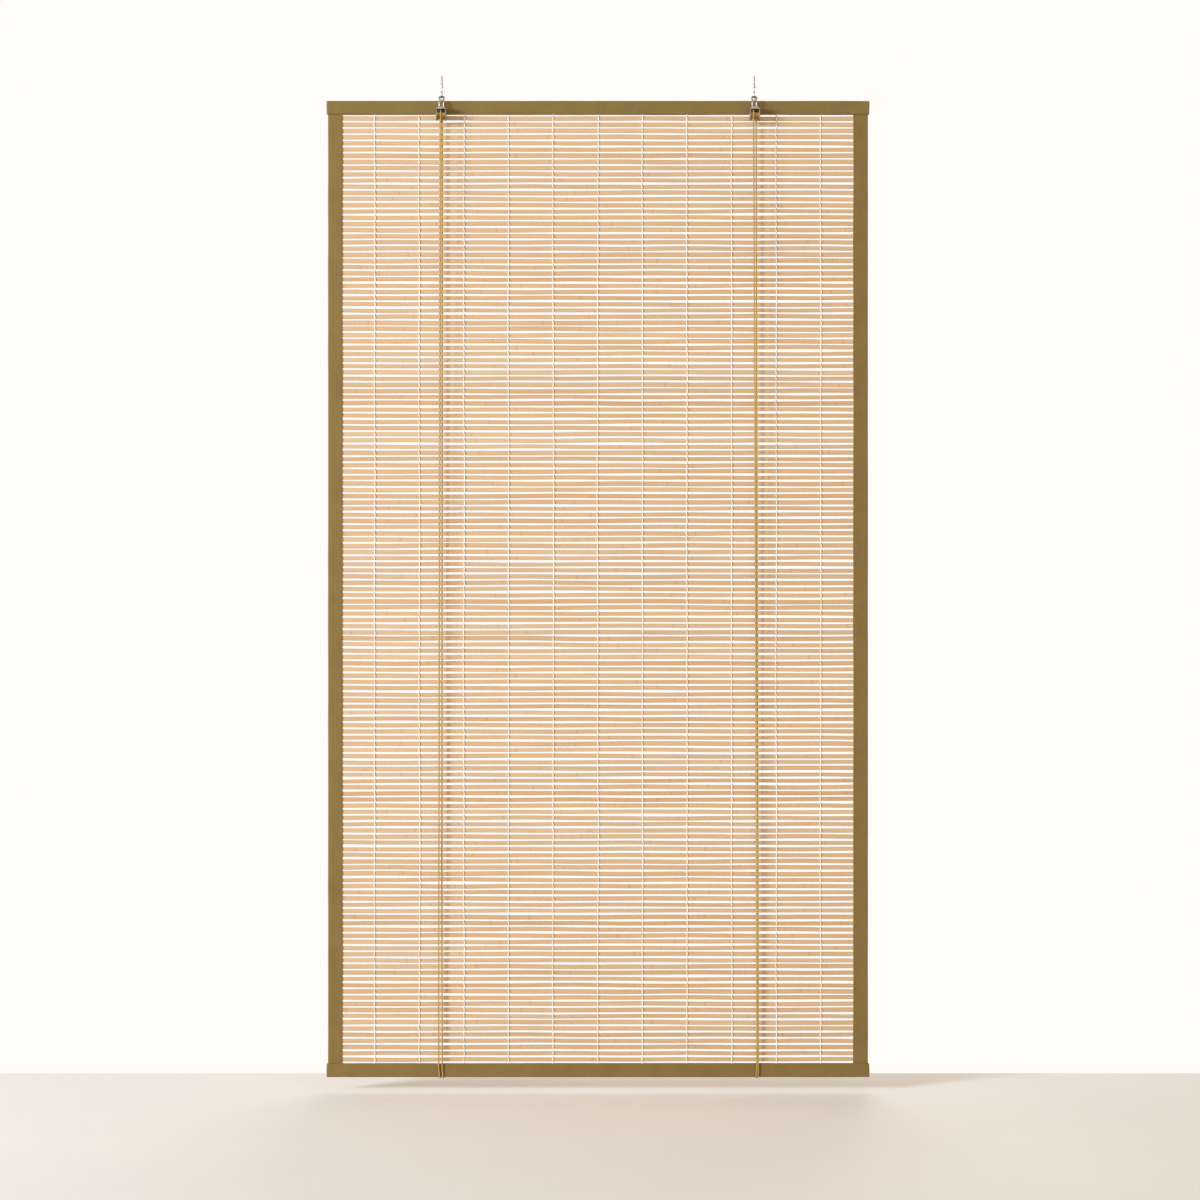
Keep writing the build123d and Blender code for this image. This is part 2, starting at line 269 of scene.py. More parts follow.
# Materials
def new_material(name):
    material = bpy.data.materials.new(name)
    material.use_nodes = True
    tree = material.node_tree
    return material, tree, tree.nodes["Principled BSDF"]


def multiply_colour(tree, base, multiplier, share):
    """A colour multiplied by another one, by a share from 0 to 1."""
    return add(
        tree, "ShaderNodeMix", {0: share, 6: base, 7: multiplier}, out=2,
        data_type="RGBA", blend_type="MULTIPLY",
    )


def ramp(tree, factor, stops):
    node = add(tree, "ShaderNodeValToRGB", {0: factor}, out=None)
    points = node.color_ramp.elements
    while len(points) < len(stops):
        points.new(0.5)
    for point, (place, tint) in zip(points, stops):
        point.position = place
        point.color = (*tint[:3], 1)
    return node.outputs[0]


def scaled(tree, source, scale=(1, 1, 1), turn=(0, 0, 0)):
    return add(tree, "ShaderNodeMapping", {"Vector": source, "Scale": scale, "Rotation": turn})


def here(tree):
    """The place on the piece, in metres."""
    return add(tree, "ShaderNodeTexCoord", out=3)


def shade(tint, share):
    return tuple(min(1.0, part * share) for part in tint[:3])


def bump(tree, shader, height, strength, distance):
    inputs = {"Strength": strength, "Distance": distance, "Height": height}
    put(shader, {"Normal": add(tree, "ShaderNodeBump", inputs)})


def bamboo_finish(colours):
    material, tree, shader = new_material("split_bamboo")
    fibre_scale, patch_scale, slat_shift = (9, 260, 1500), (5, 1, 40), 9.0
    rings_per_metre, ring_shift, edge_shade_power = 3.1, 7.3, 5.0
    tone = add(tree, "ShaderNodeAttribute", out=2, attribute_name="slat_tone")
    across = add(tree, "ShaderNodeAttribute", out=2, attribute_name="across")
    pale, deep = tuple(colours.bamboo_pale), tuple(colours.bamboo_deep)
    middle = tuple((a + b) / 2 for a, b in zip(pale, deep))
    rosy = (middle[0], middle[1] * 0.985, middle[2] * 1.01)
    tinted = ramp(tree, tone, [
        (0.0, deep), (0.28, middle), (0.5, rosy), (0.75, middle), (1.0, pale),
    ])
    spot = here(tree)
    lift = vector(tree, Z=times(tree, tone, slat_shift))
    shifted = add(tree, "ShaderNodeVectorMath", {0: spot, 1: lift}, operation="ADD")
    fibres = noise_at(tree, scaled(tree, shifted, fibre_scale), detail=4.0, roughness=0.6)
    patches = noise_at(tree, scaled(tree, shifted, patch_scale), detail=2.0)
    # Painted shade: each slat darker towards both long edges, where its rounded face turns away from
    # the light
    rim = math_node(tree, "POWER", math_node(tree, "ABSOLUTE", across), edge_shade_power)
    # Faint rings where the cane had its joints, at another place on each slat
    along = add(tree, "ShaderNodeSeparateXYZ", {0: spot})
    ring = plus(tree, times(tree, along, rings_per_metre), times(tree, tone, ring_shift))
    ring = math_node(tree, "ABSOLUTE", minus(tree, math_node(tree, "FRACT", ring), 0.5))
    for factor, share, stops in (
        (fibres, 0.55, [(0.28, (0.80, 0.76, 0.70)), (0.55, WHITE)]),
        (patches, 0.5, [(0.3, (0.86, 0.82, 0.77)), (0.62, WHITE)]),
        # The painted shade along both edges of each slat
        (rim, 0.8, [(0.0, WHITE), (0.9, (0.80, 0.74, 0.66))]),
        (ring, 0.55, [(0.0, (0.74, 0.66, 0.56)), (0.0045, (0.93, 0.9, 0.86)), (0.009, WHITE)]),
    ):
        tinted = multiply_colour(tree, tinted, ramp(tree, factor, stops), share)
    rough = add(tree, "ShaderNodeMapRange", {"Value": fibres, "To Min": 0.46, "To Max": 0.66})
    put(shader, {"Base Color": tinted, "Roughness": rough})
    bump(tree, shader, fibres, strength=0.35, distance=0.0003)
    return material


def cloth_finish(colours):
    """Plain weave on the cloth's own measure, one unit of its map being a metre."""
    material, tree, shader = new_material("olive_cloth")
    thread_scale, slub_scale = 210.0, (26, 26, 26)
    flat = add(tree, "ShaderNodeUVMap", uv_map="cloth")
    threads = {"Scale": thread_scale, "Distortion": 0.6, "Detail": 1.0, "Detail Scale": 2.0}
    weft, warp = (
        add(tree, "ShaderNodeTexWave", {"Vector": flat, **threads}, bands_direction=direction)
        for direction in "XY"
    )
    weave = times(tree, warp, weft)
    base = tuple(colours.cloth)
    tint = ramp(tree, weave, [(0.0, shade(base, 0.74)), (0.35, base), (1.0, shade(base, 1.16))])
    slubs = noise_at(tree, scaled(tree, here(tree), slub_scale), detail=4.0)
    wear = ramp(tree, slubs, [(0.3, (0.84, 0.83, 0.80)), (0.6, WHITE)])
    put(shader, {
        "Base Color": multiply_colour(tree, tint, wear, share=0.7), "Roughness": 0.86, "Sheen Weight": 0.1,
        "Sheen Roughness": 0.5, "Sheen Tint": (0.92, 0.86, 0.7, 1),
    })
    bump(tree, shader, weave, strength=0.45, distance=0.0002)
    return material


def yarn_finish(tint, name, strand_scale, slant, relief=0.5):
    """Twisted or braided yarn: slanting strands on the piece's own place."""
    material, tree, shader = new_material(name)
    fuzz_scale = (700, 700, 700)
    spot = here(tree)
    strands = add(
        tree, "ShaderNodeTexWave",
        {
            "Vector": scaled(tree, spot, turn=(0, slant, 0)), "Scale": strand_scale,
            "Distortion": 1.2, "Detail": 1.0,
        },
        bands_direction="Z",
    )
    fuzz = noise_at(tree, scaled(tree, spot, fuzz_scale), detail=3.0)
    base = ramp(tree, strands, [(0.0, shade(tint, 0.72)), (0.4, tint), (1.0, shade(tint, 1.08))])
    hairs = ramp(tree, fuzz, [(0.35, (0.86, 0.84, 0.8)), (0.6, WHITE)])
    put(shader, {"Base Color": multiply_colour(tree, base, hairs, share=0.6), "Roughness": 0.82})
    bump(tree, shader, strands, strength=relief, distance=0.0002)
    return material


def metal_finish(tint, name, roughness, scratch, tarnish):
    material, tree, shader = new_material(name)
    scratch_scale, cloud_scale = (900, 900, 160), (160, 160, 160)
    spot = here(tree)
    fine = noise_at(tree, scaled(tree, spot, scratch_scale), detail=3.0)
    clouds = noise_at(tree, scaled(tree, spot, cloud_scale), detail=4.0)
    dull = ramp(tree, clouds, [
        (0.32, shade(tint, tarnish)), (0.62, tint), (0.8, shade(tint, 1.12)),
    ])
    rough = add(
        tree, "ShaderNodeMapRange",
        {"Value": fine, "To Min": roughness - scratch, "To Max": roughness + scratch},
    )
    put(shader, {"Base Color": dull, "Metallic": 1.0, "Roughness": rough})
    bump(tree, shader, fine, strength=0.12, distance=0.0001)
    return material


def batten_finish():
    material, tree, shader = new_material("batten_wood")
    grain_scale = (4, 220, 320)
    grain = noise_at(tree, scaled(tree, here(tree), grain_scale), detail=4.0)
    tint = ramp(tree, grain, [
        (0.3, linear(176, 138, 96)), (0.6, linear(206, 172, 128)), (0.8, linear(216, 186, 144)),
    ])
    put(shader, {"Base Color": tint, "Roughness": 0.7})
    bump(tree, shader, grain, strength=0.2, distance=0.0002)
    return material


finishes = {}


def finish_of(name):
    """Each finish is made once and shared by the pieces that have it."""
    if name in finishes:
        return finishes[name]
    colours = bpy.context.scene.blind_colours
    sewing = shade(colours.cloth, 1.25)
    steel = linear(168, 166, 162)
    makers = {
        "bamboo": lambda: bamboo_finish(colours),
        "cloth": lambda: cloth_finish(colours),
        "cotton": lambda: yarn_finish(
            tuple(colours.cotton), "white_cotton", strand_scale=520.0, slant=0.6
        ),
        "cord": lambda: yarn_finish(
            tuple(colours.cord), "gold_cord", strand_scale=420.0, slant=0.7, relief=0.7
        ),
        "sewing": lambda: yarn_finish(
            sewing, "olive_sewing_thread", strand_scale=900.0, slant=0.6
        ),
        "nickel": lambda: metal_finish(
            tuple(colours.nickel), "nickel_wire", roughness=0.26, scratch=0.08, tarnish=0.72
        ),
        "brass": lambda: metal_finish(
            tuple(colours.brass), "dull_brass", roughness=0.34, scratch=0.1, tarnish=0.6
        ),
        "steel": lambda: metal_finish(
            steel, "plain_steel", roughness=0.36, scratch=0.1, tarnish=0.7
        ),
        "batten_wood": batten_finish,
    }
    finishes[name] = makers[name]()
    return finishes[name]


# Slats
def slat_tree(sizes):
    tree, given, end = shape_tree("Bamboo slats", sizes)
    length_points, edge_points = 25, 1
    lean_limit, narrow_share = 0.0009, 1.6
    stray_scale, stray_shift, stray_share = 4.5, 61.0, 4.0
    spread_seed, lean_seed, tone_seed = 3, 5, 11
    first = minus(tree, given["Top"], times(tree, given["Pitch"], 0.5))
    rows = add(
        tree, "GeometryNodeMeshLine",
        {
            "Count": given["Slats"], "Start Location": vector(tree, Z=first),
            "Offset": vector(tree, Z=times(tree, given["Pitch"], -1.0)),
        },
    )
    half = times(tree, given["Length"], 0.5)
    line = add(
        tree, "GeometryNodeCurvePrimitiveLine",
        {"Start": vector(tree, X=times(tree, half, -1.0)), "End": vector(tree, X=half)},
    )
    line = add(tree, "GeometryNodeResampleCurve", {"Curve": line, "Count": length_points})
    section = add(
        tree, "GeometryNodeCurvePrimitiveQuadrilateral",
        {"Width": given["Thickness"], "Height": given["Width"]},
    )
    section = add(
        tree, "GeometryNodeFilletCurve",
        {"Curve": section, "Count": edge_points, "Radius": given["Edge"]}, mode="POLY",
    )
    slat = add(
        tree, "GeometryNodeCurveToMesh",
        {"Curve": line, "Profile Curve": section, "Fill Caps": True},
    )
    across = math_node(tree, "DIVIDE", position(tree, 2), times(tree, given["Width"], 0.5))
    slat = add(
        tree, "GeometryNodeStoreNamedAttribute",
        {"Geometry": slat, "Name": "across", "Value": across}, data_type="FLOAT", domain="POINT",
    )
    narrowest = minus(tree, 1.0, times(tree, given["Spread"], narrow_share))
    spread = drawn(tree, narrowest, plus(tree, 1.0, given["Spread"]), spread_seed)
    lean = drawn(tree, -lean_limit, lean_limit, lean_seed)
    placed = add(
        tree, "GeometryNodeInstanceOnPoints",
        {
            "Points": rows, "Instance": slat, "Rotation": vector(tree, Y=lean),
            "Scale": vector(tree, X=1.0, Y=1.0, Z=spread),
        },
    )
    placed = add(
        tree, "GeometryNodeStoreNamedAttribute",
        {"Geometry": placed, "Name": "slat_tone", "Value": drawn(tree, 0.0, 1.0, tone_seed)},
        data_type="FLOAT", domain="INSTANCE",
    )
    solid = add(tree, "GeometryNodeRealizeInstances", {"Geometry": placed})
    own = add(tree, "GeometryNodeInputNamedAttribute", {"Name": "slat_tone"}, data_type="FLOAT")
    where = vector(
        tree, X=times(tree, position(tree, 0), stray_scale), Y=times(tree, own, stray_shift)
    )
    stray = noise_at(tree, where, detail=1.0, noise_dimensions="2D")
    stray = centred(tree, stray, times(tree, given["Wander"], stray_share))
    solid = add(
        tree, "GeometryNodeSetPosition", {"Geometry": solid, "Offset": vector(tree, Z=stray)}
    )
    solid = add(tree, "GeometryNodeSetMaterial", {"Geometry": solid, "Material": given["Material"]})
    tree.links.new(solid, end)
    return tree


class BLIND_OT_slats(bpy.types.Operator):
    """Bamboo slats that differ a little in width, line and tone"""

    bl_idname = "blind.slats"
    bl_label = "Slats"

    def execute(self, context):
        sizes = context.scene.blind_sizes
        pitch = (mat_high.z - mat_low.z) / sizes.slat_count
        values = {
            "Slats": sizes.slat_count,
            "Top": mat_high.z,
            "Pitch": pitch,
            "Length": mat_high.x - mat_low.x,
            "Width": pitch - sizes.slat_gap,
            "Thickness": mat_high.y - mat_low.y,
            "Edge": 0.00045,
            "Spread": sizes.slat_spread,
            "Wander": sizes.slat_wander,
            "Material": finish_of("bamboo"),
        }
        slats = grow("bamboo_slats", slat_tree(values), values)
        slats.data.shade_flat()
        seat(slats, BODY, "bamboo", "slat_mat")
        return {"FINISHED"}


# Warp threads
def thread_tree(sizes):
    tree, given, end = shape_tree("Warp thread", sizes)
    points_per_slat, yarn_sides = 6.0, 8
    drift_scale, jitter_scale, jitter_width = 3.2, 75.0, 0.0014
    hold = 2.6
    points = plus(tree, times(tree, given["Slats"], points_per_slat), 1.0)
    line = add(
        tree, "GeometryNodeCurvePrimitiveLine",
        {"Start": vector(tree, Z=given["Top"]), "End": vector(tree, Z=given["Bottom"])},
    )
    line = add(tree, "GeometryNodeResampleCurve", {"Curve": line, "Count": points})
    height = position(tree, 2)
    turns = math_node(tree, "DIVIDE", minus(tree, given["Top"], height), given["Pitch"])
    base = times(tree, minus(tree, turns, 0.5), math.pi)

    def stray(scale, detail, width):
        place = vector(tree, X=times(tree, height, scale), Y=given["Seed"])
        return centred(tree, noise_at(tree, place, detail, noise_dimensions="2D"), width)

    drift = stray(drift_scale, 2.0, times(tree, given["Sway"], 2.0))
    jitter = stray(jitter_scale, 0.0, jitter_width)
    middle = plus(tree, plus(tree, given["Place"], drift), jitter)
    section = add(
        tree, "GeometryNodeCurvePrimitiveCircle",
        {"Resolution": yarn_sides, "Radius": given["Yarn"]},
    )
    # The section's own X lies along the depth of the mat and its Y along the slats
    section = add(
        tree, "GeometryNodeTransform",
        {"Geometry": section, "Scale": vector(tree, X=1.0, Y=given["Narrow"], Z=1.0)},
    )
    yarns = tree.nodes.new("GeometryNodeJoinGeometry")
    for phase in (0.0, math.pi):
        angle = plus(tree, base, phase)
        # The yarn lies along the face of each slat and swaps sides in the gap
        swing = math_node(tree, "TANH", times(tree, math_node(tree, "COSINE", angle), hold))
        y = times(tree, swing, times(tree, given["Reach"], -1.0))
        x = plus(tree, middle, times(tree, math_node(tree, "SINE", angle), given["Cross"]))
        spot = vector(tree, X=x, Y=y, Z=height)
        bent = add(tree, "GeometryNodeSetPosition", {"Geometry": line, "Position": spot})
        tube = add(
            tree, "GeometryNodeCurveToMesh",
            {"Curve": bent, "Profile Curve": section, "Fill Caps": True},
        )
        tree.links.new(tube, yarns.inputs[0])
    made = add(
        tree, "GeometryNodeSetShadeSmooth", {"Geometry": yarns.outputs[0], "Shade Smooth": True}
    )
    made = add(tree, "GeometryNodeRealizeInstances", {"Geometry": made})
    made = add(tree, "GeometryNodeSetMaterial", {"Geometry": made, "Material": given["Material"]})
    tree.links.new(made, end)
    return tree


class BLIND_OT_warp_threads(bpy.types.Operator):
    """Warp threads: two yarns that twist around every slat"""

    bl_idname = "blind.warp_threads"
    bl_label = "Warp Threads"

    def execute(self, context):
        sizes = context.scene.blind_sizes
        yarn = sizes.yarn_depth / 2
        # A yarn's width and its sideways swing as shares of its depth
        narrow, cross = 0.72, 0.45
        lift, seed_step = 0.00005, 3.7
        tree = None
        for name in sorted(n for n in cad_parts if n.startswith("warp_thread")):
            low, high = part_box(name)
            values = {
                "Slats": sizes.slat_count,
                "Top": mat_high.z,
                "Bottom": mat_low.z,
                "Pitch": (mat_high.z - mat_low.z) / sizes.slat_count,
                "Place": (low[0] + high[0]) / 2,
                # So near the slats that the yarn is pressed a little into them
                "Reach": mat_high.y + yarn * narrow + lift,
                "Cross": yarn * cross,
                "Yarn": yarn,
                "Narrow": narrow,
                "Sway": sizes.thread_sway,
                "Seed": float(name[-2:]) * seed_step,
                "Material": finish_of("cotton"),
            }
            tree = tree or thread_tree(values)
            thread = grow(name.replace("warp_thread", "cotton_thread"), tree, values)
            seat(thread, BODY, "cotton", name)
        return {"FINISHED"}


# Cloth
def wobble(place, seed, scale):
    """Smooth noise from about -1 to 1 along a line, another one for each seed."""
    return noise.noise(Vector((place * scale, seed, 0.37)))


def rounded(points, radii, steps=5):
    """An open outline with each inner corner turned by a radius."""
    line = [Vector(points[0])]
    for before, corner, after, radius in zip(points, points[1:], points[2:], radii):
        before, corner, after = Vector(before), Vector(corner), Vector(after)
        a = (before - corner).normalized()
        b = (after - corner).normalized()
        reach = radius / math.tan(a.angle(b) / 2)
        centre = corner + (a + b).normalized() * (radius / math.sin(a.angle(b) / 2))
        start = corner + a * reach - centre
        stop = corner + b * reach - centre
        for k in range(steps + 1):
            line.append(centre + start.slerp(stop, k / steps).normalized() * radius)
    line.append(Vector(points[-1]))
    return line


def divided(line, longest, shortest=1e-6):
    """The same outline with long stretches cut up and those of no length left out."""
    made = [line[0]]
    for a, b in zip(line, line[1:]):
        if (b - a).length < shortest:
            continue
        parts = max(1, math.ceil((b - a).length / longest))
        made.extend(a.lerp(b, k / parts) for k in range(1, parts + 1))
    return made


def cloth_strip(bm, outline, stations, wall, place):
    """A folded strip of cloth with its wall on the left of the outline.

    place puts a point of the outline at a station along the strip.
    """
    chart = bm.loops.layers.uv.new("cloth")
    measure = [0.0]
    for a, b in zip(outline, outline[1:]):
        measure.append(measure[-1] + (b - a).length)
    inner = []
    for k, point in enumerate(outline):
        run = outline[min(k + 1, len(outline) - 1)] - outline[max(k - 1, 0)]
        inner.append(point + Vector((-run.y, run.x)).normalized() * wall)
    ring = outline + inner[::-1]
    across = measure + measure[::-1]
    rows = [[bm.verts.new(place(p, s)) for p in ring] for s in stations]
    count = len(ring)

    def face(corners, maps):
        made = bm.faces.new(corners)
        for loop, spot in zip(made.loops, maps):
            loop[chart].uv = spot

    for j in range(len(stations) - 1):
        for i in range(count):
            k = (i + 1) % count
            face(
                (rows[j][i], rows[j][k], rows[j + 1][k], rows[j + 1][i]),
                [(across[i], stations[j]), (across[k], stations[j]),
                 (across[k], stations[j + 1]), (across[i], stations[j + 1])],
            )
    for j in (0, len(stations) - 1):
        for i in range(len(outline) - 1):
            m, n = count - 1 - i, count - 2 - i
            face(
                (rows[j][i], rows[j][i + 1], rows[j][n], rows[j][m]),
                [(across[i], stations[j]), (across[i + 1], stations[j]),
                 (across[n], stations[j] + wall), (across[m], stations[j] + wall)],
            )


def cloth_piece(bm, name):
    """A finished piece of cloth as an object, smooth but for its edges."""
    bmesh.ops.recalc_face_normals(bm, faces=bm.faces)
    mesh = bpy.data.meshes.new(name)
    bm.to_mesh(mesh)
    bm.free()
    smooth(mesh, degrees=50.0)
    return plain(name, mesh, finish_of("cloth"))


def stitch_tree(sizes):
    tree, given, end = shape_tree("Stitches", sizes)
    lean_limit, lean_seed = 0.12, 2
    both = tree.nodes.new("GeometryNodeJoinGeometry")
    back = vector(tree, Y=given["Depth"])
    behind = add(tree, "ShaderNodeVectorMath", {0: given["Start"], 1: back}, operation="ADD")
    for start in (given["Start"], behind):
        rows = add(
            tree, "GeometryNodeMeshLine",
            {"Count": given["Count"], "Start Location": start, "Offset": given["Step"]},
        )
        tree.links.new(rows, both.inputs[0])
    stitch = add(tree, "GeometryNodeMeshUVSphere", {"Segments": 6, "Rings": 4, "Radius": 1.0})
    lean = drawn(tree, -lean_limit, lean_limit, lean_seed)
    made = add(
        tree, "GeometryNodeInstanceOnPoints",
        {
            "Points": both.outputs[0], "Instance": stitch, "Scale": given["Size"],
            "Rotation": vector(tree, Y=lean),
        },
    )
    made = add(tree, "GeometryNodeRealizeInstances", {"Geometry": made})
    made = add(tree, "GeometryNodeSetShadeSmooth", {"Geometry": made, "Shade Smooth": True})
    made = add(tree, "GeometryNodeSetMaterial", {"Geometry": made, "Material": given["Material"]})
    tree.links.new(made, end)
    return tree


def stitch_rows(name, start, run, depth, pitch):
    """Two rows of stitches, one on the front and one on the back, along a straight run."""
    step = run.normalized() * pitch
    half_length, half_width = pitch * 0.4, 0.0003
    values = {
        "Start": start + step * 0.5,
        "Step": step,
        "Count": int(run.length / pitch),
        "Depth": depth,
        "Size": Vector(tuple(half_length if part else half_width for part in step)),
        "Material": finish_of("sewing"),
    }
    tree = bpy.data.node_groups.get("Stitches") or stitch_tree(values)
    stitches = grow(name, tree, values)
    seat(stitches, BODY, "cloth")
    return stitches


class BLIND_OT_bindings(bpy.types.Operator):
    """Cloth tapes folded over the ends of the slats, with a row of stitches"""

    bl_idname = "blind.bindings"
    bl_label = "Side Bindings"

    # How far a tape's inner edge sways, its faces swell and its fold strays, and how often
    sway, sway_waves = 0.0006, 9.0
    swell, swell_waves = 0.00022, 26.0
    stray, stray_waves = 0.0003, 14.0

    def place(self, side, inner, point, height):
        """A point of the tape's section at a height, moved by the cloth's own unevenness."""
        behind = point.y > 0
        sway = self.sway * wobble(height, side * 3.1, self.sway_waves) * inner
        seed = side * 7.7 + (5 if behind else 0)
        puff = self.swell * wobble(height, seed, self.swell_waves) * inner
        rim = self.stray * wobble(height, side * 1.9, self.stray_waves) * (1 - inner)
        depth = point.y + (puff if behind else -puff)
        return Vector((side * (point.x + sway + rim), depth, height))

    def execute(self, context):
        sizes = context.scene.blind_sizes
        edge, fold, half = tape_low.x, tape_high.x, tape_high.y
        top, bottom = tape_high.z, tape_low.z
        fold_radius, longest, rows = half * 0.92, 0.006, 160
        seam_inset, seam_proud, seam_overlap = 0.0028, 0.00008, 0.001
        outline = rounded(
            [(edge, -half), (fold, -half), (fold, half), (edge, half)], [fold_radius] * 2
        )
        outline = divided(outline, longest)
        heights = [bottom + (top - bottom) * k / rows for k in range(rows + 1)]
        for name, side in SIDES.items():
            bm = bmesh.new()
            cloth_strip(
                bm, outline, heights, sizes.tape_wall,
                lambda point, height: self.place(
                    side, (fold - point.x) / (fold - edge), point, height
                ),
            )
            tape = cloth_piece(bm, "cloth_binding_" + name)
            seat(tape, BODY, "cloth", "side_binding_" + name)
            stitches = stitch_rows(
                "binding_stitches_" + name,
                Vector((side * (edge + seam_inset), -half - seam_proud, top_low.z - seam_overlap)),
                Vector((0, 0, foot_high.z - top_low.z + 2 * seam_overlap)),
                2 * half + 2 * seam_proud, sizes.stitch_pitch,
            )
        return {"FINISHED"}


def end_flaps(bm, half_depth, half_height, corner, end, lifted):
    """Cloth folded flat over both ends of a rail, one flap over the other."""
    rim, shoulder, tip = 0.0012, 0.001, (0.0004, 0.0058)
    bevel_depth, bevel_width = 0.0002, 0.0003
    chart = bm.loops.layers.uv["cloth"]
    tuck = rounded(
        [(0, -half_height), (half_depth, -half_height), (half_depth, half_height),
         (-half_depth, half_height), (-half_depth, -half_height), (0, -half_height)],
        [corner] * 4,
    )[:-1]
    wide, low = half_depth - rim, -half_height + rim
    flap = [
        Vector(spot)
        for spot in ((-wide, low), (wide, low), (wide, shoulder), tip, (-wide, shoulder))
    ]
    for side in (-1, 1):
        # Each layer's outline, its inner and outer face from the rail's end, and how far it shrinks
        for shape, inside, outside, shrink in (
            (tuck, end - 0.0009, end - 0.00005, 0.0007), (flap, end - 0.0004, end + 0.0004, 0.0),
        ):
            rings = [
                [
                    bm.verts.new((
                        side * depth, p.x * (1 - less / half_depth),
                        lifted(p.y * (1 - less / half_height)),
                    ))
                    for p in shape
                ]
                for depth, less in (
                    (inside, shrink), (outside - bevel_depth, shrink),
                    (outside, shrink + bevel_width),
                )
            ]
            faces = []
            for a, b in zip(rings, rings[1:]):
                for i in range(len(shape)):
                    k = (i + 1) % len(shape)
                    faces.append(bm.faces.new((a[i], a[k], b[k], b[i])))
            faces.append(bm.faces.new(rings[0]))
            faces.append(bm.faces.new(rings[-1]))
            for made in faces:
                for loop in made.loops:
                    loop[chart].uv = (loop.vert.co.y, loop.vert.co.z)


def rail_cloth(name, low, high, mat_below, wall, slit):
    """A rail's cover: cloth wrapped round the batten, with its edges turned in beside the mat."""
    half_depth, half_height = (high.y - low.y) / 2, (high.z - low.z) / 2
    middle, end = (high.z + low.z) / 2, high.x
    turn = -1 if mat_below else 1
    corner, longest = 0.003, 0.004
    insets, count = (0.0, 0.00035, 0.0012, 0.003), 150
    pull, pull_reach = 0.0006, 0.0012
    long_swell, short_swell = 0.00022, 0.00015
    outline = rounded(
        [(-slit, half_height), (-half_depth, half_height), (-half_depth, -half_height),
         (half_depth, -half_height), (half_depth, half_height), (slit, half_height)],
        [corner] * 4,
    )
    outline = divided(outline, longest)
    ends = insets[-1]
    spans = [-end + d for d in insets]
    spans += [-end + ends + (2 * end - 2 * ends) * k / count for k in range(1, count)]
    spans += [end - d for d in reversed(insets)]

    def lifted(height):
        return middle + turn * height

    def place(point, along):
        draw = pull * max(0.0, 1 - (end - abs(along)) / pull_reach) ** 2
        soft = long_swell * wobble(along, seed=2.3 + point.x * 60, scale=22.0)
        soft += short_swell * wobble(along, seed=point.y * 90, scale=60.0)
        inward = draw + max(0.0, soft)
        return Vector((
            along, point.x * (1 - inward / half_depth),
            lifted(point.y * (1 - inward / half_height)),
        ))

    bm = bmesh.new()
    cloth_strip(bm, outline, spans, wall, place)
    end_flaps(bm, half_depth, half_height, corner, end, lifted)
    return cloth_piece(bm, name)


class BLIND_OT_rails(bpy.types.Operator):
    """Cloth covers of both rails, folded over at the ends"""

    bl_idname = "blind.rails"
    bl_label = "Rails"

    def execute(self, context):
        sizes = context.scene.blind_sizes
        slit, corner_saving, end_turn = 0.0025, 0.0052, 0.012
        seam_inset, seam_end, seam_proud = 0.0036, 0.004, 0.00006
        for name, low, high, below in (
            ("top", top_low, top_high, True), ("bottom", foot_low, foot_high, False),
        ):
            cover = rail_cloth("rail_cloth_" + name, low, high, below, sizes.tape_wall, slit)
            seat(cover, BODY, "cloth", name + "_rail_cover")
            seam = low.z + seam_inset if below else high.z - seam_inset
            stitches = stitch_rows(
                "rail_stitches_" + name,
                Vector((low.x + seam_end, low.y - seam_proud, seam)),
                Vector((high.x - low.x - 2 * seam_end, 0, 0)),
                high.y - low.y + 2 * seam_proud, sizes.stitch_pitch,
            )
        return {"FINISHED"}


# Hooks, pulleys and battens
def screw_ridge(name):
    """The thread of a ceiling screw: a ridge wound up to the screw's point, fine at both ends."""
    low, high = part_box("screw_hook_" + name)
    x = (low[0] + high[0]) / 2
    turns, steps, rise, first = 13, 14, 0.0013, 0.0014
    core, ridge = 0.00168, 0.00042
    point_start, point_length, bluntness = 0.0178, 0.0042, 0.1
    end_share, start_growth, end_growth = 0.15, 0.2, 0.1
    last = turns * steps
    curve = tube_curve("screw_thread_" + name, ridge, roundness=1)
    spline = curve.splines.new("POLY")
    spline.points.add(last)
    for k, point in enumerate(spline.points):
        angle = 2 * math.pi * k / steps
        height = first + rise * k / steps
        radius = core * max(bluntness, 1 - max(0.0, height - point_start) / point_length)
        point.co = (x + radius * math.cos(angle), radius * math.sin(angle), height, 1)
        point.radius = min(1.0, end_share + start_growth * k, end_share + end_growth * (last - k))
    return plain("screw_ridge_" + name, tube_mesh(curve, degrees=40.0), finish_of("nickel"))


class BLIND_OT_hardware(bpy.types.Operator):
    """Finishes of the metal pieces and battens, and the thread of each ceiling screw"""

    bl_idname = "blind.hardware"
    bl_label = "Hardware"

    def execute(self, context):
        finish = {
            "screw_hook": "nickel", "rail_eye": "nickel", "pulley_bail": "nickel",
            "pulley_housing": "nickel", "pulley_roller": "brass", "pulley_axle": "steel",
            "cord_staple": "steel", "rail_brads": "steel",
            "top_batten": "batten_wood", "bottom_batten": "batten_wood",
        }
        for name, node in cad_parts.items():
            kind = next((f for start, f in finish.items() if name.startswith(start)), None)
            if kind:
                node.material_slots[0].material = finish_of(kind)
        for name in SIDES:
            seat(screw_ridge(name), "ceiling_hooks", "nickel")
        return {"FINISHED"}


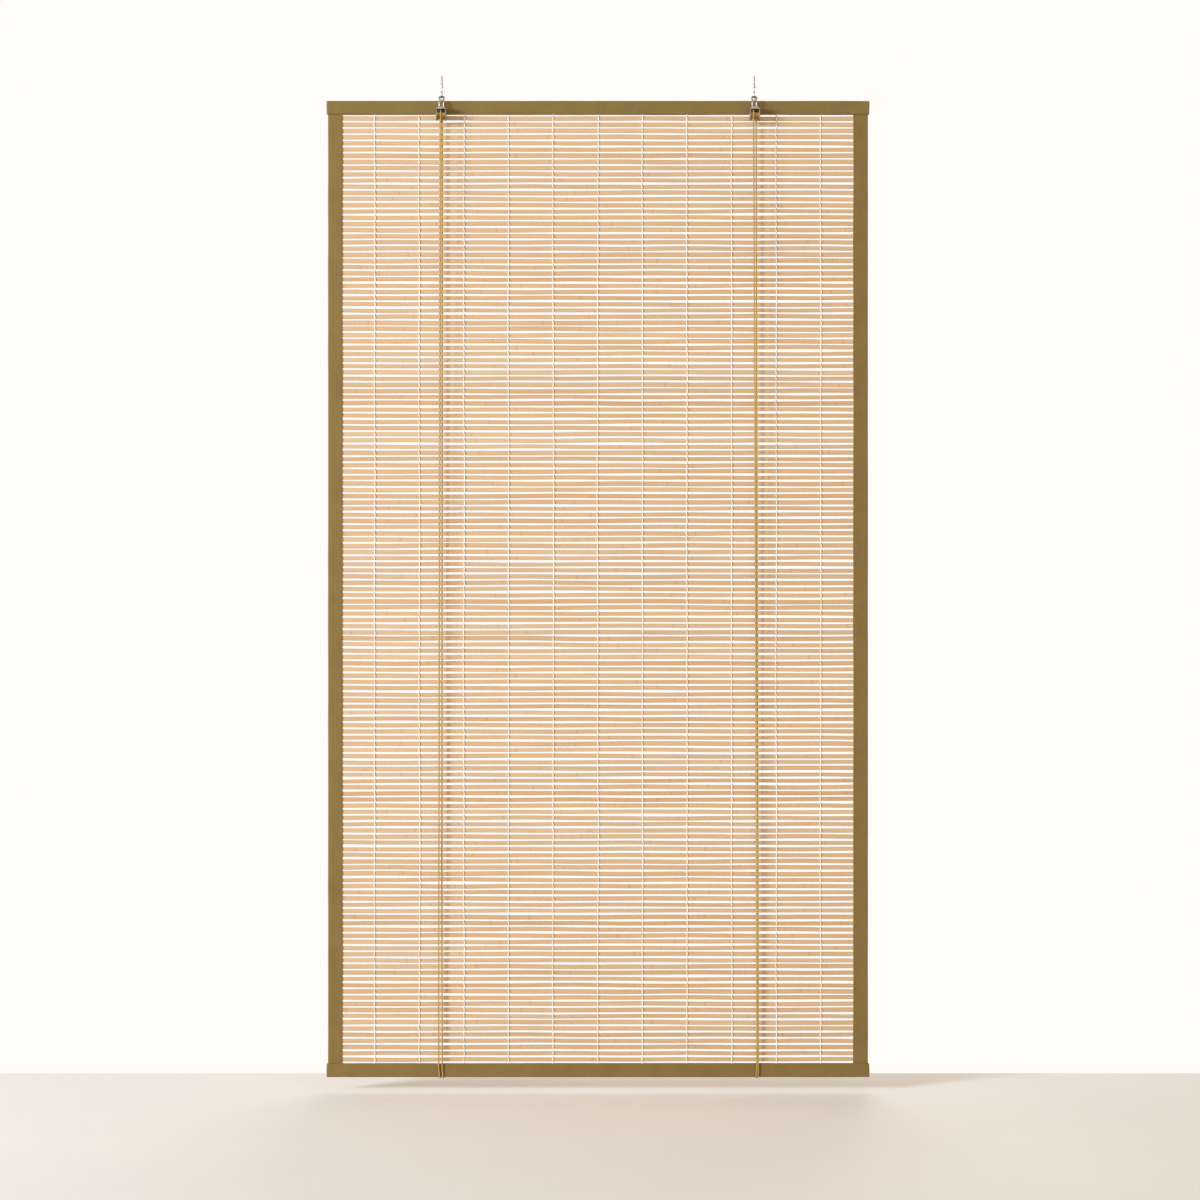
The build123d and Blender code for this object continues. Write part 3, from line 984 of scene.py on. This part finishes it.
# Lift cords
def knot_pair(name, ties, depth, bottom, top, radius):
    """Both cord ends, wound three times round the staple with a short tail."""
    turns, steps, easing = 3, 12, 4
    slimness, wind = 0.94, 0.00120
    rise = (top - bottom - 2 * radius) / turns
    curve = tube_curve("knot_line_" + name, radius * slimness, roundness=2)
    curve.resolution_u = 3
    for sign, x in zip((-1, 1), ties):
        route = [(x, depth, bottom - 0.0006), (x, depth, bottom + 0.0004)]
        for k in range(turns * steps + 1):
            angle = 2 * math.pi * k / steps
            out = wind * min(1.0, k / easing)
            route.append((
                x + sign * out * math.cos(angle), depth + out * math.sin(angle),
                bottom + radius + rise * k / steps,
            ))
        # The tail's points: how far sideways, how far behind the tie, and the height
        for aside, behind, height in (
            (0.0016, 0.0016, top + 0.0004), (0.0010, 0.0034, top - 0.0016),
            (0.0014, 0.0040, top - 0.0062), (0.0020, 0.0040, bottom - 0.0045),
        ):
            route.append((x + sign * aside, depth + behind, height))
        add_spline(curve, route)
    return plain("cord_knot_pair_" + name, tube_mesh(curve, degrees=60.0), finish_of("cord"))


class BLIND_OT_cords(bpy.types.Operator):
    """Lift cords: down the back, under the bottom rail, up the front and over the rollers"""

    bl_idname = "blind.cords"
    bl_label = "Lift Cords"

    # Where the two strands run sideways of the roller's middle
    places = {
        "left": {
            "knot": (-0.0040, 0.0006), "back": (-0.0073, -0.0007), "under": (-0.0033, 0.0029),
            "front": (-0.0064, 0.0002), "roller": (-0.0004, 0.0004),
        },
        "right": {
            "knot": (0.0043, -0.0003), "back": (0.0086, 0.0063), "under": (0.0067, 0.0028),
            "front": (0.0078, 0.0054), "roller": (-0.0030, 0.0030),
        },
    }
    # How far the route stands off the bottom rail and the roller's middle
    stand_off, roller_turn = 0.0017, 0.0090
    # How far its next points lie from the knot, from its lowest point and from its top
    knot_run, foot_run = 0.0132, 0.0090
    roller_run = 1.3 * knot_run

    def route(self, name, hook, tied, start):
        """The points of a cord from one knot to the other."""
        low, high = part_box("pulley_roller_" + name)
        roller_y, roller_z = (low[1] + high[1]) / 2, (low[2] + high[2]) / 2
        under, side = foot_low.z - self.stand_off, foot_high.y + self.stand_off
        over = roller_z + self.roller_turn
        part = self.foot_run / (foot_high.z - under)
        spots = self.places[name]
        legs = []
        for k in (0, 1):
            knot, back, below, front, wheel = (
                hook + spots[key][k] for key in ("knot", "back", "under", "front", "roller")
            )
            depth = roller_y + (2 * k - 1) * self.roller_turn
            legs.append([
                (knot, tied, start),
                (knot, tied, start - self.knot_run),
                (back, side, foot_high.z),
                (below + (back - below) * part, side, under + self.foot_run),
                (below, side, under),
                (below, -side, under),
                (below + (front - below) * part, -side, under + self.foot_run),
                (front, -side, foot_high.z),
                (wheel, depth, over - self.roller_run),
                (wheel, depth, over),
            ])
        return legs[0] + legs[1][::-1]

    def execute(self, context):
        sizes = context.scene.blind_sizes
        radius = sizes.cord_diameter / 2
        for name in SIDES:
            low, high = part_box("pulley_roller_" + name)
            hook = (low[0] + high[0]) / 2
            knots_low, knots_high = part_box("cord_knots_" + name)
            tied, start = (knots_low[1] + knots_high[1]) / 2, knots_low[2]
            route = self.route(name, hook, tied, start)
            curve = tube_curve("lift_cord_line_" + name, radius, roundness=2)
            curve.resolution_u = 10
            add_spline(curve, route)
            cord = plain("gold_cord_" + name, curve, finish_of("cord"))
            seat(cord, BODY, "cord", "lift_cord_" + name)
            ties = [hook + place for place in sorted(self.places[name]["knot"])]
            knots = knot_pair(name, ties, tied, start, knots_high[2], radius)
            seat(knots, BODY, "cord", "cord_knots_" + name)
        return {"FINISHED"}


# Floor, light and camera
class BLIND_OT_stage(bpy.types.Operator):
    """Pale floor, soft light and a camera straight in front of the blind"""

    bl_idname = "blind.stage"
    bl_label = "Stage"

    def floor(self, tint):
        level, half_width, front, back = -1.852, 4, -5, 0.16
        mesh = bpy.data.meshes.new("floor")
        mesh.from_pydata(
            [(-half_width, front, level), (half_width, front, level),
             (half_width, back, level), (-half_width, back, level)],
            [], [(0, 1, 2, 3)],
        )
        material, tree, shader = new_material("pale_floor")
        grain = noise_at(tree, here(tree), detail=3.0, scale=3.0)
        base = ramp(tree, grain, [(0.3, shade(tint, 0.97)), (0.7, tint)])
        put(shader, {"Base Color": base, "Roughness": 0.7})
        plain("floor", mesh, material)

    def world(self, scene):
        """Warm light from all round, which the camera sees as a pale wall."""
        world = bpy.data.worlds.new("soft_room")
        world.use_nodes = True
        scene.world = world
        tree = world.node_tree
        tree.nodes.clear()
        rays = add(tree, "ShaderNodeLightPath", out=None).outputs
        seen = math_node(tree, "MAXIMUM", rays["Is Camera Ray"], rays["Is Glossy Ray"])
        seen = math_node(tree, "MAXIMUM", seen, rays["Is Transmission Ray"])
        light, wall = (
            add(tree, "ShaderNodeBackground", {"Color": (*tint, 1), "Strength": strength})
            for tint, strength in (((1.0, 0.86, 0.725), 0.525), ((1.0, 0.985, 0.945), 1.0))
        )
        both = add(tree, "ShaderNodeMixShader", {0: seen, 1: light, 2: wall})
        add(tree, "ShaderNodeOutputWorld", {"Surface": both}, out=None)

    def execute(self, context):
        scene = context.scene
        scene.view_settings.view_transform = "Standard"
        self.floor(tuple(scene.blind_colours.floor))
        self.world(scene)
        centre = Vector((0, 0, (top_high.z + foot_low.z) / 2))
        for name, spot, size, power, tint in (
            ("key_light", (-6.0, -3.45, 0.6), 1.8, 620, (0.78, 0.89, 1.0)),
            ("fill_light", (2.4, -3.6, -0.9), 2.8, 24, (1.0, 0.91, 0.80)),
            ("back_light", (0.6, 3.0, 0.2), 2.6, 45, (1.0, 0.97, 0.94)),
        ):
            data = bpy.data.lights.new(name, "AREA")
            data.size = size
            data.energy = power
            data.color = tint
            lamp = plain(name, data)
            lamp.location = spot
            lamp.rotation_euler = (centre - Vector(spot)).to_track_quat("-Z", "Y").to_euler()

        aside, distance, drop = 0.0037, 4.305, 0.0203
        lens = bpy.data.cameras.new("camera")
        lens.lens = 70
        lens.sensor_width = 36
        camera = plain("camera", lens)
        camera.location = (aside, -distance, centre.z - drop)
        camera.rotation_euler = (math.radians(90), 0, 0)
        scene.camera = camera
        return {"FINISHED"}


STEPS = (
    BLIND_OT_stage, BLIND_OT_cords, BLIND_OT_slats, BLIND_OT_warp_threads,
    BLIND_OT_bindings, BLIND_OT_rails, BLIND_OT_hardware,
)


class BLIND_PT_sidebar(bpy.types.Panel):
    """Lists the blind's sizes, colours and pieces"""

    bl_idname = "BLIND_PT_sidebar"
    bl_label = "Bamboo Blind"
    bl_space_type = "VIEW_3D"
    bl_region_type = "UI"
    bl_category = "Blind"

    def draw(self, context):
        layout = self.layout
        for group in (context.scene.blind_sizes, context.scene.blind_colours):
            column = layout.column()
            for key in group.__annotations__:
                column.prop(group, key)
        for step in STEPS:
            layout.operator(step.bl_idname)


CLASSES = (BlindSizes, BlindColours, *STEPS, BLIND_PT_sidebar)


def register():
    for cls in CLASSES:
        bpy.utils.register_class(cls)
    bpy.types.Scene.blind_sizes = PointerProperty(type=BlindSizes)
    bpy.types.Scene.blind_colours = PointerProperty(type=BlindColours)


def unregister():
    del bpy.types.Scene.blind_colours
    del bpy.types.Scene.blind_sizes
    for cls in reversed(CLASSES):
        bpy.utils.unregister_class(cls)


def main():
    register()
    for step in STEPS:
        group, name = step.bl_idname.split(".")
        getattr(getattr(bpy.ops, group), name)()


if __name__ == "__main__":
    main()
